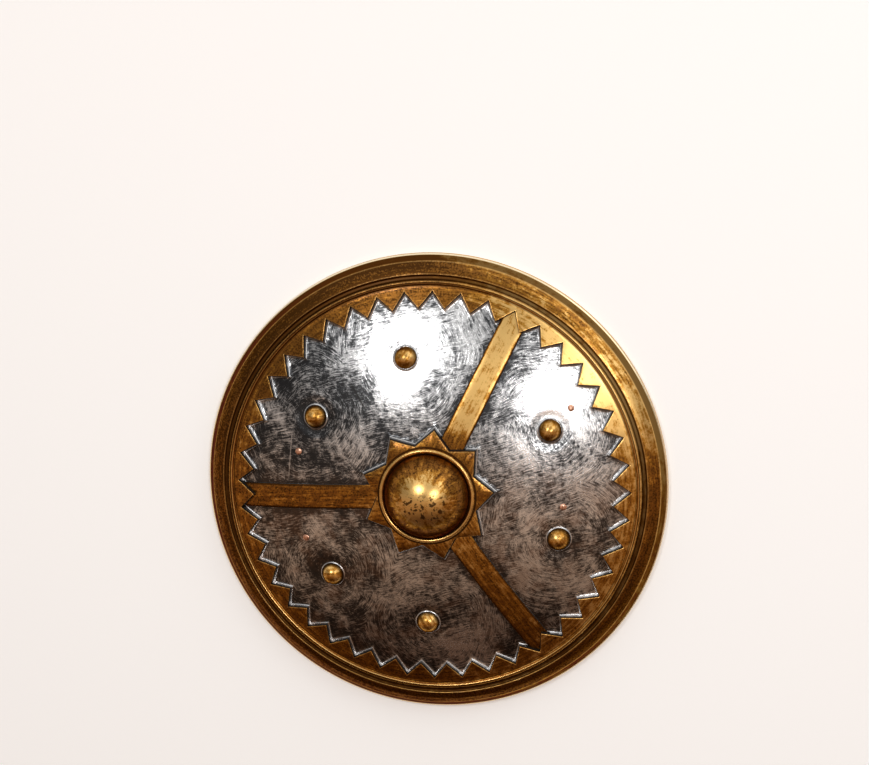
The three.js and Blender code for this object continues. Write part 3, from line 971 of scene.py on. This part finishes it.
def silver_material():
    """Silver dry-brushed over a dark ground, browner in blotches towards the bottom, with painted
    highlights, painted shade and a few small marks.
    """
    made, tree, shader = new_material("brushed_silver_paint")
    plan = use_group(tree, PLAN)
    place, lift, spoke, stud = (plan[name] for name in ("Place", "Lift", "Spoke Gap", "Stud Distance"))
    strokes = use_group(tree, STROKES, {name: plan[name] for name in ("Place", "Swirl", "Bearing")})
    east, north, _ = parts_of(tree, place)
    close = most(tree, *(
        span(tree, plan[form], low, high, thinned, 0.0) for form, low, high, thinned in THIN_BESIDE
    ))
    cover = weighed(
        tree, (strokes["Fine"],), (less(tree, strokes["Patches"], 0.5), 0.65),
        (less(tree, strokes["Broad"], 0.5), 0.5), (close, -1.0),
        # More silver towards the right: partly painted light, partly the brushing's own unevenness.
        (span(tree, east, -150.0, 60.0, -0.04, 0.045),),
        # Paler silver at the two highlights: painted highlight.
        *((near_place(tree, place, *spot), highlight_share) for *spot, highlight_share in HIGHLIGHT_SPOTS),
    )
    painted = span(tree, cover, 0.41, 0.72)
    thin = fading(tree, cover, 0.35, 0.47)
    beside_spoke = fading(tree, spoke, 2.0, 2.6)
    on_wall = most(
        tree, span(tree, lift, 2.6, 4.2),
        times(tree, span(tree, lift, 0.35, 0.8), beside_spoke),
    )
    raised = span(tree, lift, 0.25, 0.7)
    clean = times(tree, raised, total(tree, 0.25, times(tree, strokes["Patches"], 1.1)))
    clean = most(tree, clean, times(tree, line_at(tree, stud, 13.1, 0.3, 0.4), 0.7))
    # A dark line round each stud's foot: painted shade.
    stud_foot_shade = line_at(tree, stud, 12.2, 0.15, 0.35)
    scratched = times(tree, scratch(tree, place, *PALE_SCRATCH), 0.6)
    painted = most(tree, painted, clean, scratched)
    under = blend(tree, span(tree, north, -30.0, 40.0), SILVER_THIN, SILVER_THIN_COOL)
    colour = blend(tree, painted, under, SILVER_LIGHT)
    # Brown blotches, stronger towards the bottom.
    blotches = span(tree, noise(tree, place, 0.045, 4.0, 0.65, 31.0), 0.45, 0.66)
    lower_brown = times(tree, blotches, span(tree, north, 70.0, -50.0), 0.4)
    colour = blend(tree, lower_brown, colour, SILVER_LOWER_BROWN)
    marks = most(
        # A painted shadow along a crease, and dark chips in the paint.
        tree, times(tree, scratch(tree, place, *CREASE_SHADOW), 0.8),
        *(near_place(tree, place, *chip) for chip in DARK_CHIPS),
    )
    bare = times(tree, thin, 0.5, less(tree, 1.0, clean))
    # The dark ground where the silver is thin and on the walls, and painted shade at the studs' feet
    # and along the crease.
    dark = most(tree, bare, on_wall, times(tree, stud_foot_shade, 0.85), marks)
    colour = blend(tree, dark, colour, UNDERCOAT_AND_SHADE)
    rough = weighed(tree, (0.31,), (painted, -0.05), (on_wall, 0.3))
    feed(
        tree, shader, Base_Color=colour, Metallic=span(tree, dark, 0.45, 1.0, 1.0, 0.6),
        Roughness=rough, Normal=bump(tree, strokes["Fine"], 0.3, 0.0004),
    )
    return made


def gold_material():
    """Gold paint, mottled and streaked, pale on its crests from wear and painted highlight, washed
    dark in its hollows, with broad painted light and shade.
    """
    made, tree, shader = new_material("aged_gold_paint")
    plan = use_group(tree, PLAN)
    place, lift, spoke, stud = (plan[name] for name in ("Place", "Lift", "Spoke Gap", "Stud Distance"))
    aged = use_group(tree, TARNISH, {"Place": place, "Size": 9.0})
    radius, around = plan["Radius"], parts_of(tree, plan["Around"])
    east, north, _ = parts_of(tree, place)
    slant = total(tree, east, north)
    on_boss = fading(tree, radius, 50.0, 52.0)
    on_tooth = times(tree, span(tree, radius, 150.0, 160.0), span(tree, lift, 3.5, 5.0))
    on_ring = most(tree, span(tree, radius, 214.0, 216.0), on_tooth)
    in_middle = less(tree, 1.0, on_boss, on_ring)

    def streaks(turns, outward, turn):
        """Streaks that run round the axis."""
        sideways = times(tree, around[0], turns), times(tree, around[1], turns)
        vector = vector_of(tree, *sideways, times(tree, radius, outward))
        return noise(tree, vector, 1.0, 4.0, 0.65, turn)

    along = vector_of(tree, times(tree, radius, 0.035), times(tree, plan["Spoke Side"], 0.40))
    along = noise(tree, along, 1.0, 4.0, 0.65, times(tree, around[0], 4.0))
    streak = weighed(
        tree, (streaks(9.0, 0.11, 0.0), on_boss), (streaks(7.0, 0.42, 3.0), on_ring),
        (along, in_middle),
    )
    shade = weighed(tree, (aged["Mottle"], 0.45), (streak, 0.4), (aged["Specks"], 0.15))
    fine = weighed(tree, (aged["Specks"], 0.6), (streak, 0.4))

    # Pale edges of teeth and star and pale crests: partly wear, partly painted highlight.
    tooth_edges = line_at(tree, plan["Tooth Gap"], -0.4, 0.2, 0.7)
    wear_and_highlight = most(
        tree, times(tree, tooth_edges, fading(tree, radius, 216.0, 217.0), 0.3),
        times(tree, line_at(tree, plan["Star Gap"], -0.4, 0.2, 0.7), 0.3),
        rings_at(tree, radius, PALE_CRESTS),
    )
    # Darker round the foot of each stud ball: painted shade. Dark wash in the hollows is the paint's
    # own.
    ball_foot_shade = span(tree, stud, 8.8, 12.0), fading(tree, stud, 13.2, 13.8)
    wash_and_shade = most(tree, rings_at(tree, radius, WASHED_HOLLOWS), times(tree, *ball_foot_shade, 0.85))

    # Broad differences of tone, mostly painted light and shade: a positive share is darker, a negative
    # one paler.
    off_stud = span(tree, stud, 12.0, 16.0)
    on_spoke = times(tree, in_middle, off_stud, span(tree, radius, 66.0, 80.0))
    # The boss darker towards its edge and its lower side: painted shade.
    boss_painted_shade = total(
        tree, span(tree, radius, 14.0, 44.0, -0.12, 0.12), span(tree, north, -22.0, -40.0, 0.0, 0.10))
    star_side = span(tree, north, 50.0, -50.0, 0.09, 0.01)
    painted_light_and_shade = weighed(
        tree,
        # Spokes paler at the upper right and darker at the lower left: painted light and shade.
        (span(tree, slant, 130.0, -110.0, -0.075, 0.06), on_spoke),
        # Stud balls a little paler: painted highlight.
        (span(tree, stud, 14.0, 12.5), in_middle, -0.03),
        (span(tree, radius, 80.0, 70.0), in_middle, star_side),
        (span(tree, east, -60.0, 120.0, 0.05, -0.01), on_ring),
        # The ring darker at the top: painted shade.
        (span(tree, north, 60.0, 200.0, 0.0, 0.07), on_ring),
        (line_at(tree, spoke, 0.0, 0.5, 1.6), on_spoke, 0.2),
        (fading(tree, radius, 45.8, 46.4), boss_painted_shade),
        (line_at(tree, radius, 237.0, 6.0, 1.0), 0.11),
        # The ring face paler at the upper right: painted highlight.
        (span(tree, slant, 230.0, 310.0), on_ring, -0.15),
    )
    shade = total(tree, shade, painted_light_and_shade)
    tone = span(tree, shade, 0.405, 0.51)
    brown = times(tree, span(tree, shade, 0.475, 0.58), 0.9)
    specks = times(
        tree, span(tree, noise(tree, place, 0.2, 3.0, 0.6, 7.0), 0.53, 0.58),
        fading(tree, radius, 22.0, 30.0), span(tree, north, 14.0, 4.0),
    )
    mottled = span(tree, weighed(tree, (fine,), (painted_light_and_shade, 0.6)), 0.53, 0.63)
    streaked = span(tree, total(tree, streak, painted_light_and_shade), 0.58, 0.74)
    dark = most(
        tree, times(tree, mottled, 0.85), wash_and_shade, times(tree, specks, 0.9),
        times(tree, streaked, on_boss, 0.6),
    )
    dark = times(tree, dark, weighed(tree, (1.0,), (wear_and_highlight, -0.9)))
    colour = blend(tree, tone, GOLD_PALE, GOLD_MID)
    colour = blend(tree, brown, colour, GOLD_BROWN)
    colour = blend(tree, times(tree, wear_and_highlight, 0.85), colour, GOLD_PALE)
    # Dark wash, with painted shade where the broad shading and the balls' feet darken it.
    colour = blend(tree, dark, colour, GOLD_WASH_AND_SHADE)
    # A pale line round the outer lip: painted highlight where its edge catches the light.
    colour = blend(tree, times(tree, line_at(tree, radius, 249.4, 0.4, 0.4), 0.9), colour, GOLD_LIP_HIGHLIGHT)
    rough = weighed(
        tree, (0.29,), (dark, 0.12), (wear_and_highlight, -0.05), (span(tree, fine, 0.3, 0.7), 0.05),
        (on_boss, -0.015),
    )
    feed(
        tree, shader, Base_Color=colour, Metallic=1.0, Specular_Tint=GOLD_EDGE, Roughness=rough,
        Coat_Weight=times(tree, less(tree, 1.0, dark), 0.2), Coat_Roughness=0.2,
        Normal=bump(tree, fine, 0.25, 0.0004),
    )
    return made


def back_material():
    """Plain dark moulded plastic with a faint grain."""
    made, tree, shader = new_material("bare_plastic_back")
    plan = use_group(tree, PLAN)
    aged = use_group(tree, TARNISH, {"Place": plan["Place"], "Size": 24.0})
    colour = blend(tree, span(tree, aged["Mottle"], 0.3, 0.75), PLASTIC_DARK, PLASTIC_GREY)
    rough = span(tree, aged["Specks"], 0.3, 0.7, 0.36, 0.52)
    grain = bump(tree, aged["Grain"], 0.2, 0.0003)
    feed(tree, shader, Base_Color=colour, Roughness=rough, Normal=grain)
    return made


def webbing_material():
    """Black woven webbing, a little rubbed."""
    made, tree, shader = new_material("black_webbing")
    place = object_place(tree)
    fibre = noise(tree, place, 900.0, 3.0, 0.6)
    rubbed = noise(tree, place, 60.0, 3.0, 0.6)
    colour = blend(tree, span(tree, fibre, 0.3, 0.7), FIBRE_BLACK, FIBRE_GREY)
    colour = blend(tree, span(tree, rubbed, 0.55, 0.85, 0.0, 0.5), colour, FIBRE_RUBBED)
    feed(
        tree, shader, Base_Color=colour, Roughness=span(tree, fibre, 0.3, 0.7, 0.72, 0.92),
        Sheen_Weight=0.25, Normal=bump(tree, fibre, 0.5, 0.0002),
    )
    return made


def thread_material():
    """Twisted sewing thread."""
    made, tree, shader = new_material("stitching_thread")
    inputs = {"Vector": object_place(tree), "Scale": 700.0, "Distortion": 1.0}
    twist = add(tree, "TexWave", inputs, bands_direction="DIAGONAL").outputs["Fac"]
    colour = blend(tree, twist, THREAD_DARK, THREAD_GREY)
    feed(tree, shader, Base_Color=colour, Roughness=0.6, Normal=bump(tree, twist, 0.4, 0.0001))
    return made


def copper_material():
    """Copper with darker tarnish in patches."""
    made, tree, shader = new_material("copper_rivet")
    tarnish = noise(tree, object_place(tree), 420.0, 4.0, 0.65)
    colour = blend(tree, span(tree, tarnish, 0.42, 0.66), COPPER_BRIGHT, COPPER_DULL)
    rough = span(tree, tarnish, 0.3, 0.7, 0.24, 0.45)
    feed(
        tree, shader, Base_Color=colour, Metallic=0.95, Roughness=rough,
        Normal=bump(tree, tarnish, 0.3, 0.0002),
    )
    return made


# ---- the object
# Edges that turn by fewer degrees than this are shaded soft.
SHELL_SOFT, STRAP_SOFT, RIVET_SOFT = 34, 50, 40

paints = [gold_material(), silver_material(), back_material()]
finished(
    "moulded_shell", shield_shell(), "shield_shell", paints, SHELL_SOFT)

fabrics = [webbing_material(), thread_material()]
for name, strap in STRAPS.items():
    finished(name + "_webbing", webbing(strap), name, fabrics, STRAP_SOFT)

copper = [copper_material()]
rivet_places = [place for strap in STRAPS.values() for place in strap["ends"]]
for index, place in enumerate(rivet_places, 1):
    label = f"rivet_{index}"
    finished("copper_" + label, rivet(place), label, copper, RIVET_SOFT)


# ---- floor, light and camera
FLOOR_RADIUS = 14
FLOOR_GAP = 0.0002
FLOOR_COLOUR, FLOOR_GLOW = (0.94, 0.935, 0.925, 1), (1, 0.99, 0.98, 1)

# The camera's distance, and the axis's place in the frame, are shares of the notch radius.
CAMERA_DISTANCE = 20.0516
CAMERA_TURNS = (0.211714, -0.170044)
CAMERA_SHIFT = (-0.005251, -0.521537)
# Both in the same unit, so that only their ratio counts
FRAME_WIDTH, FOCAL_LENGTH = 869, 4000
SENSOR_WIDTH = 36

LIGHT_DISTANCE = 2.4
# Each light's direction to the camera's right, up and back; what it faces; its size; its power
SOFTBOXES = {
    "left_softbox": ((-0.42, 0.14, 0.90), (-0.024, 0.148, 0.04), (0.50, 0.46), 12.5),
    "right_softbox": ((0.195, -0.04, 0.967), (0.14, 0.09, 0.03), (0.44, 0.64), 10),
    "upper_right_softbox": ((0.60, 0.42, 0.68), (0.1, 0.1, 0.05), (1.6, 1.6), 10),
}
# The room's tones from the low side to the high side
ROOM_TONES = [
    (0.02, (0.07, 0.030, 0.016)), (0.18, (0.36, 0.23, 0.15)), (0.36, (0.54, 0.36, 0.25)),
    (0.50, (0.40, 0.33, 0.285)), (0.62, (0.30, 0.29, 0.28)), (0.86, (0.32, 0.32, 0.32)),
    (0.95, (1.0, 1.0, 1.0)),
]

camera_tilt = Matrix.Rotation(CAMERA_TURNS[0], 3, "X")
camera_turn = (Matrix.Rotation(CAMERA_TURNS[1], 3, "Y") @ camera_tilt).transposed()


def floor():
    """A pale floor just under the shield."""
    slab = bmesh.new()
    bmesh.ops.create_circle(slab, cap_ends=True, segments=3, radius=FLOOR_RADIUS)
    made = placed("floor", mesh_of("floor", slab))
    made.location.z = cad_box[0][2] - FLOOR_GAP
    pale, tree, shader = new_material("pale_floor")
    feed(
        tree, shader, Base_Color=FLOOR_COLOUR, Emission_Color=FLOOR_GLOW, Emission_Strength=0.21,
        Roughness=0.8,
    )
    made.data.materials.append(pale)


def camera():
    """Looks down on the shield a little from below and to one side."""
    data = bpy.data.cameras.new("camera")
    data.sensor_width = SENSOR_WIDTH
    data.lens = SENSOR_WIDTH * FOCAL_LENGTH / FRAME_WIDTH
    data.clip_end = 50
    made = placed("camera", data)
    place = Vector((-CAMERA_SHIFT[0], -CAMERA_SHIFT[1], CAMERA_DISTANCE))
    place = camera_turn @ place * NOTCH_RADIUS * MM
    place.z += RING_TOP * MM
    made.matrix_world = Matrix.Translation(place) @ camera_turn.to_4x4()
    bpy.context.scene.camera = made


def softbox(name, toward, aim, size, power):
    """A soft light that faces a point."""
    data = bpy.data.lights.new(name, "AREA")
    data.shape = "RECTANGLE"
    data.size, data.size_y = size
    data.energy = power
    way = (camera_turn @ Vector(toward)).normalized()
    place = Matrix.Translation(Vector(aim) + way * LIGHT_DISTANCE)
    placed(name, data).matrix_world = place @ way.to_track_quat("Z", "Y").to_matrix().to_4x4()


def surroundings():
    """A room that is dark and warm below the shield and bright above it."""
    world = bpy.data.worlds.new("room")
    bpy.context.scene.world = world
    world.use_nodes = True
    tree = world.node_tree
    way = parts_of(tree, add(tree, "TexCoord").outputs["Generated"])
    ramp = add(tree, "ValToRGB", {0: span(tree, way[1], -1.0, 1.0)})
    tree.nodes["Background"].inputs["Strength"].default_value = 1.0
    stops = ramp.color_ramp.elements
    for index, (place, tone) in enumerate(ROOM_TONES):
        stop = stops[index] if index < 2 else stops.new(place)
        stop.position, stop.color = place, (*tone, 1)
    tree.links.new(ramp.outputs[0], tree.nodes["Background"].inputs["Color"])


floor()
camera()
surroundings()
for name, light in SOFTBOXES.items():
    softbox(name, *light)
bpy.context.scene.view_settings.view_transform = "Standard"
